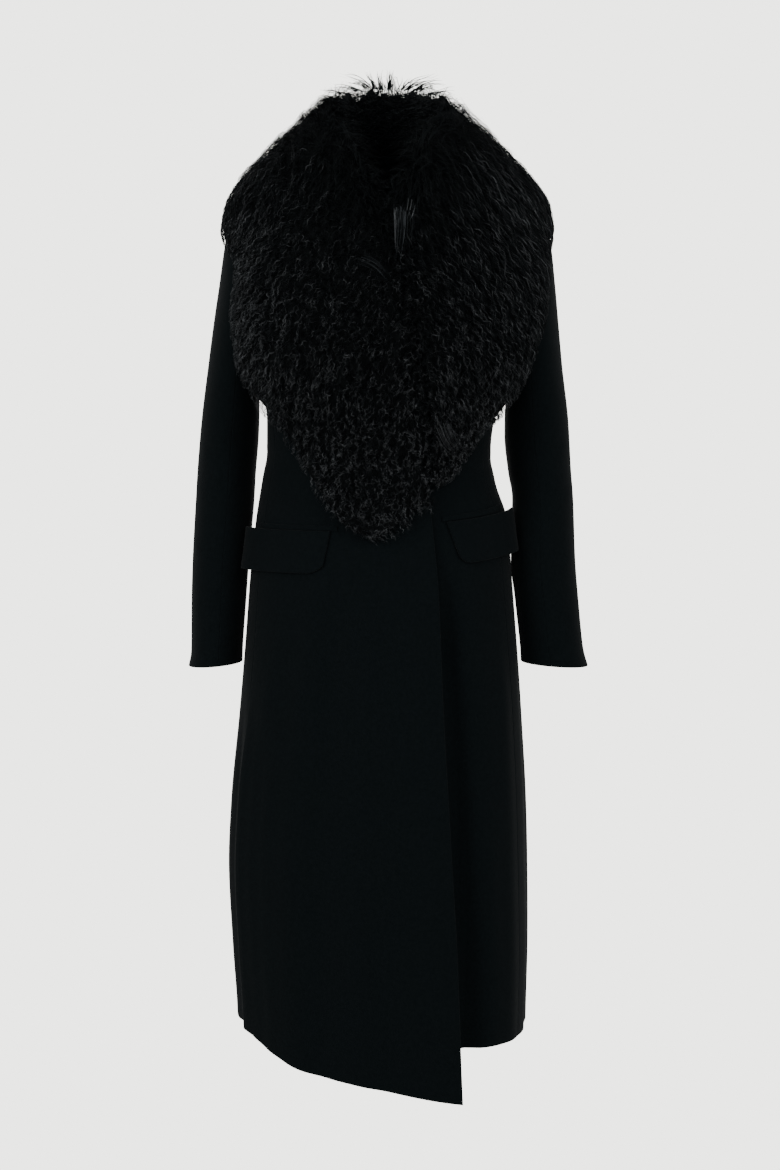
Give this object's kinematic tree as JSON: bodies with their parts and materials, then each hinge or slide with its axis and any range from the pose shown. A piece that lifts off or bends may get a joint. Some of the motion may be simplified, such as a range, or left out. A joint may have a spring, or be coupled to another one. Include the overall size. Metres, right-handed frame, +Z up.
{
  "type": "midi coat",
  "caption": "Long wrap-front wool coat with a huge curly fur shawl collar, flap pockets and two-piece sleeves, hollow as worn.",
  "frame": {"origin": "middle of the neck opening, level with the fold of the collar just above the shoulders, where the wearer's neck holds the coat", "axes": "+Z up, the front looks to -Y, the wearer's left side is +X"},
  "size_m": [0.5295, 0.3172, 1.2838],
  "materials": {
    "wool": "matte felted wool, black",
    "fur": "long curly lamb fur, black, with a soft sheen"
  },
  "bodies": {
    "root": {"front_right": "wool", "front_left": "wool", "back_right": "wool", "back_left": "wool", "sleeve_upper_right": "wool", "sleeve_upper_left": "wool", "sleeve_under_right": "wool", "sleeve_under_left": "wool", "flap_right": "wool", "flap_left": "wool", "jet_right": "wool", "jet_left": "wool", "collar_back": "fur", "lapel_right": "fur", "lapel_left": "fur"}
  },
  "joints": []
}
